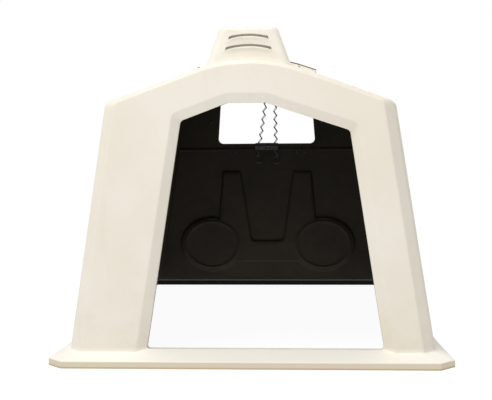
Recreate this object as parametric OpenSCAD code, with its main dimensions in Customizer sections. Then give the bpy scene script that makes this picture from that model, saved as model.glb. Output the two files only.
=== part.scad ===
// Calf hutch: one moulded shell, a louvred ridge hood, a hinged ridge lid worked by two pull chains,
// and a rear window closed by a bottom-hinged flap with two turn buttons.
// The front faces -Y, +Z is up, and the origin is under the middle of the base.

/* [Overall] */
// Length over the base flange
hutch_len = 2100; // [2000:10:2200]
// Width over the base flange at its widest, near the front
base_w = 1546; // [1500:2:1600]
// How much each side closes in from front to back
taper = 50; // [30:5:60]
// Thickness of the moulded wall
wall_t = 6; // [5:0.5:7]

/* [Flange] */
// Width of the flange outside the front wall and at its front corners
flange_w = 73; // [60:1:80]
// Width of the flange along the side walls
flange_side_w = 58; // [50:1:62]
// Height of the upright lip
lip_h = 27; // [20:1:32]
// Height at which the flange meets the wall
flange_h = 48; // [42:1:54]
// Cut across each corner of the flange
corner_cut = 60; // [40:5:70]

/* [Body] */
// Lean of the side walls from upright
wall_lean = 9.15; // [8:0.05:10]
// Height of the ridge
ridge_h = 1160; // [1150:1:1175]
// Pitch of the roof
roof_pitch = 19.9; // [19:0.1:21]
// Radius of the ridge
ridge_r = 600; // [590:5:610]
// Radius of the eaves
eave_r = 28; // [24:1:36]
// Bevel between the front face and the side walls
side_bevel = 40; // [30:1:50]
// Drop of the bevel between the front face and the roof
roof_bevel = 15; // [10:1:20]
// Number of stiffening ribs on each side wall
rib_count = 4; // [3:1:4]
// Length of one rib along the wall
rib_w = 110; // [90:5:130]
// How far a rib stands out
rib_out = 14; // [8:1:16]

/* [Doorway] */
// Height of the sill
sill_h = 55; // [50:1:70]
// Left foot of the doorway, from the middle
door_left = 399; // [380:1:410]
// Right foot of the doorway, from the middle
door_right = 512; // [500:1:520]
// Height of the left shoulder
door_left_h = 930; // [920:1:935]
// Height of the right shoulder
door_right_h = 890; // [880:1:895]
// Height of the flat top
door_top_h = 997; // [990:1:1000]
// Width of the turned-in band round the doorway
band_w = 34; // [30:1:38]
// Depth of that band
band_d = 25; // [20:1:30]
// Depth of the straight return behind it
return_d = 24; // [12:1:45]

/* [Rear wall] */
// Lean of the rear wall from upright
rear_lean = 5.6; // [5:0.1:6]
// Half width of the window at its sill
window_half = 272; // [265:1:275]
// Height of the window sill
window_sill = 825; // [820:1:830]
// Height of the top of the window
window_top = 1055; // [1045:1:1058]
// Corner radius of the window
window_r = 27; // [20:1:32]
// Height of the moulded relief pads
pad_out = 14; // [10:1:16]

/* [Hood] */
// Height of the top of the hood
hood_top = 1284; // [1270:1:1290]
// Half width of the hood at its top
hood_half = 110; // [105:1:115]
// Wall of the hood
hood_t = 5; // [4:0.5:6]

/* [Ridge lid] */
// Half width of the lid
lid_half = 275; // [270:1:280]
// Reach of the lid in front of its hinge
lid_reach = 286; // [280:1:290]
// How far the lid stands open
lid_open = 17; // [16:0.5:20]

/* [Flap] */
// Overlap of the flap round the window
flap_lap = 17; // [14:1:18]
// How far the flap has swung open
flap_open = 180; // [0:5:180]

/* [Hidden] */

cream = [0.94, 0.92, 0.86];
steel = [0.55, 0.56, 0.57];
dark_steel = [0.24, 0.23, 0.22];
rubber = [0.16, 0.13, 0.11];
around = 48;
facet_gap = 0.75;                             // clears the small facets of the curved roof and lid

// ---- Frame of reference ------------------------------------------------------------------------
// Depths are measured back from the front lip.
function at(depth) = depth - hutch_len / 2;
face_d = flange_w + 2;                        // front face
body_d = face_d + side_bevel;                 // where the full section starts
rear_d = hutch_len - face_d;                  // foot of the rear wall
side_tan = tan(wall_lean);
roof_tan = tan(roof_pitch);
rear_tan = tan(rear_lean);
body_half = base_w / 2 - flange_w;            // half width of the wall at the flange, front
function narrowing(depth) = taper * (depth - body_d) / (rear_d - body_d);
function rear_y(z) = at(rear_d) - rear_tan * (z - flange_h);   // outer face of the rear wall

// ---- Roof profile ------------------------------------------------------------------------------
arc_x = ridge_r * sin(roof_pitch);
function roof_z(x) = let (a = abs(x)) a < arc_x
    ? ridge_h - ridge_r + sqrt(ridge_r * ridge_r - a * a)
    : ridge_h - ridge_r * (1 - cos(roof_pitch)) - (a - arc_x) * roof_tan;

// ---- Outlines ----------------------------------------------------------------------------------
function unit(v) = v / norm(v);
function wrap(i, n) = (i + n) % n;

// A closed outline with every corner rounded
function rounded(pts, r, steps) = [for (i = [0 : len(pts) - 1])
    let (p = pts[i], n = len(pts), a = unit(pts[wrap(i - 1, n)] - p), b = unit(pts[wrap(i + 1, n)] - p),
        half = acos(a * b) / 2, turn = 180 - 2 * half, c = p + unit(a + b) * r / sin(half),
        s = p + a * r / tan(half) - c, e = p + b * r / tan(half) - c)
    for (k = [0 : steps]) c + (s * sin(turn * (1 - k / steps)) + e * sin(turn * k / steps)) / sin(turn)];

// An anticlockwise outline moved outwards by d
function edge_out(p, q) = let (u = unit(q - p)) [u[1], -u[0]];
function grown(pts, d) = [for (i = [0 : len(pts) - 1])
    let (n = len(pts), a = edge_out(pts[wrap(i - 1, n)], pts[i]), b = edge_out(pts[i], pts[wrap(i + 1, n)]))
    pts[i] + d * (a + b) / (1 + a * b)];

function ellipse(cx, cz, a, b, n = 40) = [for (i = [0 : n - 1])
    [cx + a * cos(i * 360 / n), cz + b * sin(i * 360 / n)]];

// A closed solid through rings of points, each ring clockwise when seen from before the first one
module skin(rings) {
    n = len(rings[0]);
    m = len(rings);
    polyhedron(
        points = [for (ring = rings) for (p = ring) p],
        faces = concat(
            [[for (i = [0 : n - 1]) i]],
            [for (j = [0 : m - 2]) for (i = [0 : n - 1]) let (k = (i + 1) % n)
                [j * n + i, (j + 1) * n + i, (j + 1) * n + k, j * n + k]],
            [[for (i = [n - 1 : -1 : 0]) (m - 1) * n + i]]),
        convexity = 8);
}

// ---- Shell -------------------------------------------------------------------------------------
eave_steps = 4;
arc_steps = 5;

// Right half of a section, base to ridge; walls moved in by tw and the roof down by tr
function half_section(b, tw, tr, foot) =
    let (w = b - tw / cos(wall_lean), top = ridge_h - tr / cos(roof_pitch),
        knee = top - ridge_r * (1 - cos(roof_pitch)),
        x = (side_tan * (knee + arc_x * roof_tan - flange_h) - w) / (side_tan * roof_tan - 1),
        z = knee - (x - arc_x) * roof_tan, turn = 90 - wall_lean - roof_pitch,
        t = eave_r * tan(turn / 2),
        c = [x + t * sin(wall_lean) - eave_r * cos(wall_lean),
            z - t * cos(wall_lean) - eave_r * sin(wall_lean)])
    concat([[w - side_tan * (foot - flange_h), foot]],
        [for (k = [0 : eave_steps]) let (g = wall_lean + turn * k / eave_steps)
            c + eave_r * [cos(g), sin(g)]],
        [for (k = [0 : arc_steps]) let (g = roof_pitch * (1 - k / arc_steps))
            [ridge_r * sin(g), top - ridge_r * (1 - cos(g))]]);

function section(b, tw, tr, foot) =
    let (right = half_section(b, tw, tr, foot), n = len(right))
    concat([for (p = right) [-p[0], p[1]]], [for (i = [n - 2 : -1 : 0]) right[i]]);

function upright(pts, y) = [for (p = pts) [p[0], y, p[1]]];
function leaning(pts, depth) = [for (p = pts)
    [p[0], at(depth) - rear_tan * (p[1] - flange_h), p[1]]];

// Ribs stand out from the side walls only; t is the distance inside the outer surface
rib_first = body_d + 35;
rib_pitch = (rear_d - 170 - rib_first - rib_w) / (rib_count - 1);
rib_ramp = 18;
function body_ring(depth, out, t, foot) =
    upright(section(body_half - narrowing(depth), t - out, t, foot), at(depth));
function rib_rings(start, t, foot) = [body_ring(start, 0, t, foot),
    body_ring(start + rib_ramp, rib_out, t, foot),
    body_ring(start + rib_w - rib_ramp, rib_out, t, foot), body_ring(start + rib_w, 0, t, foot)];

module body_solid(t, foot) {
    rear_half = body_half - taper;
    skin(concat(
        [upright(section(body_half, side_bevel + t, roof_bevel + t, foot), at(face_d + t)),
            body_ring(body_d + t / 2, 0, t, foot)],
        [for (k = [0 : rib_count - 1]) for (ring = rib_rings(rib_first + k * rib_pitch, t, foot)) ring],
        [leaning(section(rear_half, t, t, foot), rear_d - side_bevel - t / 2),
            leaning(section(rear_half, side_bevel * 0.75 + t, roof_bevel + t, foot), rear_d - t)]));
}

// An outline seen from above, from its right half, front to back
function plan(right, z) = concat([for (p = right) [p[0], at(p[1]), z]],
    [for (i = [len(right) - 1 : -1 : 0]) [-right[i][0], at(right[i][1]), z]]);

waist_at = 400;                               // where the flange has come down to its side width
module flange_solid(t, bottom) {
    lip = base_w / 2 - t;
    cut = corner_cut;
    wall = body_half - t;
    wall_waist = wall - narrowing(waist_at);
    rear_lip = wall - taper + flange_side_w;
    lip_line = [[lip - cut, t], [lip, cut + t], [wall_waist + flange_side_w, waist_at],
        [rear_lip, hutch_len - cut - t], [rear_lip - cut, hutch_len - t]];
    wall_line = [[wall - side_bevel, face_d + t], [wall, body_d + t], [wall_waist, waist_at],
        [wall - taper, rear_d - side_bevel - t], [wall - taper - side_bevel * 0.75, rear_d - t]];
    skin([plan(lip_line, bottom), plan(lip_line, lip_h - t), plan(wall_line, flange_h - t)]);
}

// Doorway, anticlockwise from the left foot, set off the middle towards the right
door_top_left = -78;
door_top_right = 64;
doorway = [[-door_left, sill_h], [door_right, sill_h],
    [door_right - (door_right_h - sill_h) * side_tan * 0.96, door_right_h],
    [door_top_right, door_top_h], [door_top_left, door_top_h],
    [-door_left + (door_left_h - sill_h) * side_tan, door_left_h]];
door_r = 20;
// The band grows less downwards, so that it stops at the flange
function band_outline(d) = [for (p = grown(doorway, d)) [p[0], max(p[1], flange_h)]];

module door_frame(t) {
    inner = rounded(grown(doorway, t), door_r + t, 4);
    outer = rounded(grown(band_outline(band_w), t), door_r + t, 4);
    back = face_d + band_d + return_d + (t > 0 ? 0 : 1);
    skin([upright(inner, at(back)), upright(inner, at(face_d + band_d)),
        upright(outer, at(face_d + (t > 0 ? 0.5 : -0.5)))]);
}

// Everything on the rear wall is drawn in the plane of its outer face: X across, Z up the slope
// from the flange and Y outwards.
module on_rear_wall() {
    translate([0, at(rear_d), flange_h]) rotate([rear_lean, 0, 0]) children();
}
function up_slope(z) = (z - flange_h) / cos(rear_lean);
module plate(pts, from, to) {
    translate([0, to, 0]) rotate([90, 0, 0]) linear_extrude(to - from) polygon(pts);
}

sill_s = up_slope(window_sill);
top_s = up_slope(window_top);
window_close = 18;                            // how much each side of the window closes in upwards
window = [[-window_half, sill_s], [window_half, sill_s],
    [window_half - window_close, top_s], [-window_half + window_close, top_s]];

// Relief of the rear wall: two round bosses on tapering necks, joined below a tapering panel
boss_x = 317;
boss_s = up_slope(251);
boss_a = 180;
boss_b = 158;
neck_top = up_slope(668);
neck_in = 154;
neck_out = 251;
panel_low = up_slope(272);
panel_half = 90;
bridge_low = up_slope(150);

module relief(d, from, to) {
    difference() {
        union() {
            for (s = [-1, 1]) plate(ellipse(s * boss_x, boss_s, boss_a + d, boss_b + d), from, to);
            plate(grown([[-neck_out - 30, boss_s + 60], [-boss_x + 40, bridge_low],
                [boss_x - 40, bridge_low], [neck_out + 30, boss_s + 60], [neck_out, neck_top],
                [-neck_out, neck_top]], d), from, to);
        }
        plate(rounded(grown([[-panel_half, panel_low], [panel_half, panel_low],
            [neck_in, neck_top + 40], [-neck_in, neck_top + 40]], -d), 30 + d, 5), from - 1, to + 1);
    }
}

module boss_rings() {
    for (s = [-1, 1]) difference() {
        plate(ellipse(s * boss_x, boss_s, boss_a - 21, boss_b - 21), -wall_t - pad_out - 5, -wall_t - 2);
        plate(ellipse(s * boss_x, boss_s, boss_a - 33, boss_b - 33), -wall_t - pad_out - 6, 1);
    }
}

// A strip that follows the roof between two heights above it
function roof_points(x0, x1, h) = [for (i = [0 : 12]) let (x = x0 + (x1 - x0) * i / 12) [x, roof_z(x) + h]];
module roof_strip(x0, x1, from, to, lo, hi) {
    outline = concat(roof_points(x0, x1, lo), [for (i = [12 : -1 : 0]) roof_points(x0, x1, hi)[i]]);
    translate([0, at(to), 0]) rotate([90, 0, 0]) linear_extrude(to - from) polygon(outline);
}
module roof_ring(half, from, to, t, lo, hi) {
    roof_strip(-half, half, from, from + t, lo, hi);
    roof_strip(-half, half, to - t, to, lo, hi);
    for (s = [-1, 1])
        roof_strip(min(s * half, s * (half - t)), max(s * half, s * (half - t)), from, to, lo, hi);
}

hatch_half = 240;
hatch_from = 1550;
hatch_to = 1790;
curb_t = 5;
curb_h = 14;
vent_half = 100;
vent_from = 190;
vent_to = 380;

ledge_s = up_slope(791);
ledge_half = 500;
ledge_from = 66;                              // leaves room for the chain keeper
module shell() {
    color(cream) difference() {
        union() {
            difference() {
                union() {
                    body_solid(0, flange_h);
                    flange_solid(0, 0);
                }
                body_solid(wall_t, flange_h - wall_t - 1);
                flange_solid(wall_t, -1);
            }
            door_frame(wall_t);
            roof_ring(hatch_half + curb_t, hatch_from - curb_t, hatch_to + curb_t, curb_t, -2, curb_h);
            on_rear_wall() {
                relief(0, -wall_t - pad_out, -1);
                boss_rings();
                for (s = [-1, 1]) translate([s > 0 ? ledge_from : -ledge_half, -wall_t - 8, ledge_s - 5])
                    cube([ledge_half - ledge_from, wall_t + 7, 10]);
            }
        }
        door_frame(0);
        on_rear_wall() {
            relief(-wall_t, -pad_out, 1);
            plate(rounded(window, window_r, 5), -60, 20);
            keeper_places() cylinder(d = keeper_bolt_d, h = 60, center = true, $fn = around);
            wall_leaf_places() cylinder(d = leaf_bolt_d, h = 60, center = true, $fn = around);
            button_places() cylinder(d = button_bolt_d, h = 60, center = true, $fn = around);
        }
        roof_strip(-hatch_half, hatch_half, hatch_from, hatch_to, -40, 40);
        roof_strip(-vent_half, vent_half, vent_from, vent_to, -40, 40);
        bracket_bolt_places() cylinder(d = bracket_bolt_d, h = 80, center = true, $fn = around);
        hood_screw_places() cylinder(d = hood_screw_d, h = 40, center = true, $fn = around);
    }
}

// ---- Ridge hood --------------------------------------------------------------------------------
hood_from = 128;
hood_to = 440;
hood_rise = hood_top - 1100;
hood_slope = 0.3615;                          // sideways run for each millimetre of height
hood_front_lean = 22;
hood_back_lean = 110;
hood_corner = 28;
hood_foot_t = 4;
hood_screw_d = 5;

function hood_ring(half, from, to, z, c) = [[-half + c, at(from), z], [half - c, at(from), z],
    [half, at(from) + c, z], [half, at(to) - c, z], [half - c, at(to), z], [-half + c, at(to), z],
    [-half, at(to) - c, z], [-half, at(from) + c, z]];
module hood_solid(t) {
    half = hood_half - t;
    skin([hood_ring(half + hood_slope * hood_rise, hood_from + t, hood_to - t, hood_top - hood_rise,
            hood_corner),
        hood_ring(half, hood_from + hood_front_lean + t, hood_to - hood_back_lean - t, hood_top - t,
            hood_corner)]);
}

// An arched louvre slot, r the radius of its lower edge
function arch(r, half, h, steps = 10) = let (g = asin(half / r)) concat(
    [for (k = [0 : steps]) let (b = -g + 2 * g * k / steps) r * [sin(b), cos(b)]],
    [for (k = [steps : -1 : 0]) let (b = -g + 2 * g * k / steps) (r + h) * [sin(b), cos(b)]]);
module louvre(half, z, r, h, from, to) {
    translate([0, at(to), z - r]) rotate([90, 0, 0]) linear_extrude(to - from) polygon(arch(r, half, h));
}
slot_h = 13;
upper_slot_z = 1247;
lower_slot_z = 1208;

// A blade behind a slot that starts at its lower edge and rises inwards, to keep the rain out
blade_t = 2.5;
blade_run = 16;
blade_rise = 9.5;
function hood_front(z) = hood_from + hood_front_lean * (z - hood_top + hood_rise) / hood_rise;
module blade(half, z, r) {
    outline = arch(r - blade_t, half, blade_t);
    skin([for (q = [1, 0]) upright([for (p = outline) p + [0, z - r + q * blade_rise]],
        at(hood_front(z) + 2 + q * blade_run))]);
}

hood_foot_half = 191;
module hood_screw_places() {
    for (s = [-1, 1]) for (d = [165, 275, 395]) square_to_roof(s * hood_foot_half, d, 0) children();
}

module vent_hood() {
    color(cream) {
        difference() {
            union() {
                hood_solid(0);
                roof_strip(-hood_foot_half - 12, hood_foot_half + 12, hood_from + 10, hood_to + 14, -2,
                    hood_foot_t);
                louvre(80, upper_slot_z - 5, 280, 5, hood_from + 6, hood_from + 60);
                louvre(94, lower_slot_z - 5, 305, 5, hood_from + 1, hood_from + 60);
            }
            hood_solid(hood_t);
            translate([0, 0, -hood_t]) hood_solid(hood_t);
            louvre(74, upper_slot_z, 280, slot_h, hood_from - 5, hood_from + 60);
            louvre(88, lower_slot_z, 305, slot_h, hood_from - 5, hood_from + 60);
            roof_strip(-320, 320, hood_from - 40, hood_to + 60, -200, facet_gap);
            hood_screw_places() cylinder(d = hood_screw_d, h = 40, center = true, $fn = around);
        }
        blade(78, upper_slot_z, 280);
        blade(92, lower_slot_z, 305);
    }
}

module dome_head(d, h) {
    rotate_extrude($fn = around) intersection() {
        translate([0, h - (d * d / 4 + h * h) / (2 * h)]) circle(r = (d * d / 4 + h * h) / (2 * h), $fn = 96);
        square([d / 2, h]);
    }
}

module hood_screws() {
    color(steel) hood_screw_places() {
        translate([0, 0, -14]) cylinder(d = hood_screw_d, h = 14 + hood_foot_t, $fn = around);
        translate([0, 0, hood_foot_t]) dome_head(13, 4);
    }
}

// ---- Ridge lid ---------------------------------------------------------------------------------
lid_axis_d = 1805;
lid_axis_z = 1117;
lid_lo = 21;
lid_hi = 26;
lid_rim_lo = 3;
lid_rim_t = 5;
lid_tail = 17;                                // reach of the lid behind its hinge

// The lid and all that rides on it are drawn shut and turned open
module opened() {
    translate([0, at(lid_axis_d), lid_axis_z]) rotate([-lid_open, 0, 0])
        translate([0, -at(lid_axis_d), -lid_axis_z]) children();
}

lid_from = lid_axis_d - lid_reach;
module lid_shape() {
    roof_strip(-lid_half, lid_half, lid_from, lid_axis_d + lid_tail, lid_lo, lid_hi);
    roof_strip(-lid_half, lid_half, lid_from, lid_from + lid_rim_t, lid_rim_lo, lid_hi);
    for (s = [-1, 1]) roof_strip(min(s * lid_half, s * (lid_half - lid_rim_t)),
        max(s * lid_half, s * (lid_half - lid_rim_t)), lid_from, lid_axis_d - 5, lid_rim_lo, lid_hi);
    for (s = [-1, 1])
        roof_strip(s * 140 - 16, s * 140 + 16, lid_from + 40, lid_axis_d - 30, lid_hi - 1, lid_hi + 6);
}
module ridge_lid() {
    color(cream) opened() difference() {
        lid_shape();
        lever_bolt_places() cylinder(d = lever_bolt_d, h = 60, center = true, $fn = around);
    }
}

module lid_edge_strip() {
    color(rubber) opened() {
        roof_strip(-lid_half, lid_half, lid_from - 2, lid_from, lid_hi - 2.5, lid_hi + 1.5);
        roof_strip(-lid_half, lid_half, lid_from - 2, lid_from + 6, lid_hi, lid_hi + 1.5);
    }
}

seal_t = 3;
module lid_curb_seal() {
    color(rubber) roof_ring(hatch_half + curb_t, hatch_from - curb_t, hatch_to + curb_t, curb_t,
        curb_h, curb_h + seal_t);
}

// ---- Lid lever, hinge rod and brackets ---------------------------------------------------------
rod_d = 10;
hinge_gap = 0.08;                             // radial running clearance
rod_half = 92;
arm_x = 60;
arm_t = 5;
lever_r = 85;
lever_rest = lid_open / 2;                    // below level at rest, as far above it when shut
lever_bolt_d = 6;
eye_d = 16;
eye_left = 2;
eye_right = 49;

module lid_axis() { translate([0, at(lid_axis_d), lid_axis_z]) children(); }
module across(d, from, to) {
    translate([from, 0, 0]) rotate([0, 90, 0]) cylinder(d = d, h = to - from, $fn = around);
}
// Places on the roof and, height mm above it, on the lid, square to the slope there
module square_to_roof(x, depth, height) {
    translate([x, at(depth), roof_z(x) + height]) rotate([0, asin(x / ridge_r), 0]) children();
}
module lever_bolt_places() {
    for (s = [-1, 1]) for (back = [88, 62])
        square_to_roof(s * (arm_x + 14), lid_axis_d - back, lid_hi) children();
}

// One arm in the plane across the hinge, drawn with the lid shut: foot, neck, hub and tail
module arm() {
    tip = lever_r * [cos(lever_rest), sin(lever_rest)];
    rotate([90, 0, 90]) linear_extrude(arm_t, center = true) polygon([[-96, 66], [-54, 66], [-46, 22],
        [-4, 13], [tip[0] + 3, tip[1] + 10], [tip[0] + 3, tip[1] - 10], [4, -12], [-12, -12], [-64, 12],
        [-74, 44], [-96, 44]]);
    across(26, -arm_t / 2, arm_t / 2);
}
module lid_lever() {
    color(dark_steel) opened() difference() {
        lid_axis() {
            for (s = [-1, 1]) {
                translate([s * arm_x, 0, 0]) arm();
                translate([s * (arm_x + 12) - 14, -98, 52]) cube([28, 46, 20]);
            }
            rotate([lever_rest, 0, 0]) translate([-arm_x, lever_r - 2, -12]) cube([2 * arm_x, 4, 24]);
        }
        lid_axis() {
            across(rod_d + 2 * hinge_gap, -rod_half, rod_half);
            rotate([lever_rest, 0, 0]) for (x = [eye_left, eye_right])
                translate([x, lever_r, 0]) rotate([90, 0, 0])
                    cylinder(d = eye_d, h = 20, center = true, $fn = around);
        }
        roof_strip(-120, 120, lid_from, lid_axis_d + 60, lid_lo - facet_gap, 200);
        lever_bolt_places() cylinder(d = lever_bolt_d, h = 60, center = true, $fn = around);
    }
}
module lever_bolts() {
    color(steel) opened() lever_bolt_places() {
        translate([0, 0, -18]) cylinder(d = lever_bolt_d, h = 18, $fn = around);
        dome_head(14, 4);
    }
}

module lid_hinge_rod() {
    color(steel) lid_axis() across(rod_d, -rod_half, rod_half);
}
module rod_clips() {
    color(steel) lid_axis() for (s = [-1, 1]) translate([s * 88, 0, 0]) difference() {
        across(18, -1, 1);
        across(rod_d, -2, 2);
    }
}

bracket_x = 80;
bracket_t = 5;
bracket_bolt_d = 6;
module bracket_bolt_places() {
    for (s = [-1, 1]) for (back = [8, 34])
        square_to_roof(s * (bracket_x + 18), lid_axis_d + back, 0) children();
}
module lid_brackets() {
    color(dark_steel) difference() {
        lid_axis() for (s = [-1, 1]) {
            translate([s * bracket_x, 0, 0]) {
                rotate([90, 0, 90]) linear_extrude(bracket_t, center = true)
                    polygon([[-12, 0], [12, 0], [46, 44], [-6, 44]]);
                across(24, -bracket_t / 2, bracket_t / 2);
            }
            translate([s * (bracket_x + 13) - 16, -8, 24]) cube([32, 56, 30]);
        }
        lid_axis() {
            across(rod_d, -120, 120);
            translate([-bracket_x + bracket_t / 2, -20, -30]) cube([2 * bracket_x - bracket_t, 80, 90]);
            for (s = [-1, 1]) translate([s * (bracket_x + 23) - 20, -20, 20])
                translate([s > 0 ? -0.5 : 0.5, 0, 0])
                    cube([40, 80, roof_z(bracket_x + 23) - lid_axis_z - 31]);
        }
        roof_strip(-200, 200, lid_axis_d - 60, lid_axis_d + 90, -wall_t / cos(roof_pitch) - facet_gap,
            60);
        bracket_bolt_places() cylinder(d = bracket_bolt_d, h = 80, center = true, $fn = around);
    }
}
module lid_bracket_bolts() {
    color(steel) bracket_bolt_places() {
        translate([0, 0, -22]) cylinder(d = bracket_bolt_d, h = 22, $fn = around);
        dome_head(14, 4);
    }
}

// ---- Pull chains and keeper --------------------------------------------------------------------
chain_wire = 3.5;
chain_step = 22;                              // pitch of the zigzag links along the strand
chain_swing = 7.5;
keeper_half = 63;
keeper_z = 812;
keeper_out = 22;                              // from the inner face of the rear wall to the strands
keeper_bolt_d = 6;
eye_y = at(lid_axis_d) + lever_r * cos(lever_rest);
eye_z = lid_axis_z - lever_r * sin(lever_rest);
keeper_y = rear_y(keeper_z) - wall_t - keeper_out;
foot_left = -40;
foot_right = 53;

// Strand of zigzag links from a lever eye through the keeper, with its tail below: an eight-sided
// tube whose middle swings from side to side. It starts on the ring that hangs through the eye.
ring_r = 10;
ring_drop = 5.2;                              // from the middle of the eye to the wire that hangs in it
chain_tail = 66;
chain_turns = 4;                              // stations on each half swing
function strand_start(top) = top - [0, 0, ring_drop + 2 * ring_r];
function strand_links(top, foot) = floor((norm(foot - strand_start(top)) + chain_tail) / chain_step);
function strand_point(top, foot, k) = let (start = strand_start(top))
    start + unit(foot - start) * k * chain_step / chain_turns
        + [chain_swing * sin(k * 180 / chain_turns), 0, 0];
module strand(top, foot) {
    skin([for (k = [0 : strand_links(top, foot) * chain_turns])
        [for (g = [0 : 45 : 315]) strand_point(top, foot, k) + chain_wire / 2 * [cos(g), -sin(g), 0]]]);
    translate(top - [0, 0, ring_drop + ring_r]) rotate([0, 90, 0]) rotate_extrude($fn = around)
        translate([ring_r, 0]) circle(d = chain_wire, $fn = 24);
}
function strand_end(top, foot) = strand_point(top, foot, strand_links(top, foot) * chain_turns);
top_left = [eye_left, eye_y, eye_z];
top_right = [eye_right, eye_y, eye_z];
low_left = [foot_left, keeper_y, keeper_z];
low_right = [foot_right, keeper_y, keeper_z];

module pull_chain_left() { color(dark_steel) strand(top_left, low_left); }
module pull_chain_right() { color(dark_steel) strand(top_right, low_right); }

pull_ring_r = 19;
pull_ring_wire = 4;
module pull_ring(top, foot) {
    translate(strand_end(top, foot) - [0, 0, pull_ring_r + pull_ring_wire / 2]) rotate([90, 0, 0])
        rotate_extrude($fn = around) translate([pull_ring_r, 0]) circle(d = pull_ring_wire, $fn = 24);
}
module pull_ring_left() { color(steel) pull_ring(top_left, low_left); }
module pull_ring_right() { color(steel) pull_ring(top_right, low_right); }

keeper_s = up_slope(keeper_z);
module keeper_places() {
    for (s = [-1, 1]) translate([s * 8 + 6, -wall_t, keeper_s - 13]) rotate([90, 0, 0]) children();
}
module chain_keeper() {
    color(dark_steel) difference() {
        on_rear_wall() {
            translate([-keeper_half, -wall_t - 4, keeper_s - 22]) cube([2 * keeper_half, 4, 39]);
            translate([-keeper_half, -wall_t - 40, keeper_s - 2]) cube([2 * keeper_half, 38, 4]);
        }
        for (x = [foot_left - 2, foot_right]) translate([x, keeper_y + 1, keeper_z]) {
            for (s = [-1, 1]) translate([s * 7, 0, 0]) cylinder(d = 15, h = 40, center = true, $fn = around);
            cube([14, 15, 40], center = true);
        }
        on_rear_wall() keeper_places() cylinder(d = keeper_bolt_d, h = 60, center = true, $fn = around);
    }
}
module keeper_bolts() {
    color(steel) on_rear_wall() keeper_places() {
        translate([0, 0, -wall_t - 8]) cylinder(d = keeper_bolt_d, h = wall_t + 13, $fn = around);
        translate([0, 0, 4]) dome_head(12, 4);
        translate([0, 0, -wall_t - 5]) cylinder(d = 11.5, h = 5, $fn = 6);
    }
}

// ---- Rear flap ---------------------------------------------------------------------------------
// The flap is drawn shut and turned about the hinge below the sill.
flap_axis_s = sill_s - 22;
flap_axis_out = 12;
flap_lo = 3;
flap_hi = 8;
flap_rim = 16;
flap_low = flap_axis_s + 8;
pin_d = 6;
leaf_x = 190;
leaf_half = 30;
leaf_t = 2.5;
leaf_bolt_d = 5;
knuckle_d = 12;
knuckle_half = 14;

module swung(angle) {
    translate([0, flap_axis_out, flap_axis_s]) rotate([-angle, 0, 0])
        translate([0, -flap_axis_out, -flap_axis_s]) children();
}
flap = [[-window_half - flap_lap, flap_low], [window_half + flap_lap, flap_low],
    [window_half - window_close + flap_lap, top_s + 14],
    [-window_half + window_close - flap_lap, top_s + 14]];
grip = [[-60, top_s - 42], [60, top_s - 42], [60, top_s - 12], [-60, top_s - 12]];

module flap_rivet_places() {
    for (s = [-1, 1]) for (x = [-20, 20]) for (z = [flap_axis_s + 16, flap_axis_s + 30])
        translate([s * leaf_x + x, flap_hi, z]) rotate([-90, 0, 0]) children();
}
module rear_flap() {
    color(cream) on_rear_wall() swung(flap_open) difference() {
        union() {
            plate(rounded(flap, 24, 5), flap_lo, flap_hi);
            difference() {
                plate(rounded(flap, 24, 5), flap_lo + 1, flap_rim);
                plate(rounded(grown(flap, -5), 20, 5), flap_lo, flap_rim + 1);
                translate([-leaf_x - 40, flap_hi, flap_low - 5]) cube([80, 20, 12]);
                translate([leaf_x - 40, flap_hi, flap_low - 5]) cube([80, 20, 12]);
            }
            difference() {
                plate(rounded(grown(flap, -44), 16, 5), flap_lo + 1, flap_hi + 4);
                plate(rounded(grown(flap, -54), 12, 5), flap_lo, flap_hi + 5);
            }
        }
        plate(rounded(grip, 14.9, 5), 0, 40);
        flap_rivet_places() cylinder(d = leaf_bolt_d, h = 40, center = true, $fn = around);
    }
}
module flap_seal() {
    color(rubber) on_rear_wall() swung(flap_open) difference() {
        plate(rounded(grown(flap, -3), 21, 5), 0.5, flap_lo);
        plate(rounded(grown(flap, -11), 15, 5), 0, flap_lo + 1);
    }
}
module flap_rivets() {
    color(steel) on_rear_wall() swung(flap_open) flap_rivet_places() {
        translate([0, 0, flap_lo - flap_hi])
            cylinder(d = leaf_bolt_d, h = flap_hi - flap_lo + leaf_t, $fn = around);
        translate([0, 0, leaf_t]) dome_head(9, 2.5);
    }
}

module barrel(d, from, to) {
    translate([from, flap_axis_out, flap_axis_s]) across(d, 0, to - from);
}
// Moving leaves: the middle knuckle of each hinge
module flap_leaves() {
    color(dark_steel) on_rear_wall() swung(flap_open)
        for (s = [-1, 1]) translate([s * leaf_x, 0, 0]) difference() {
        union() {
            translate([-leaf_half, flap_hi, flap_low]) cube([2 * leaf_half, leaf_t, 30]);
            translate([-knuckle_half, flap_hi, flap_axis_s]) cube([2 * knuckle_half, 5, 10]);
            barrel(knuckle_d, -knuckle_half, knuckle_half);
        }
        barrel(pin_d + 2 * hinge_gap, -leaf_half, leaf_half);
        translate([-s * leaf_x, 0, 0]) flap_rivet_places()
            cylinder(d = leaf_bolt_d, h = 40, center = true, $fn = around);
    }
}
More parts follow.
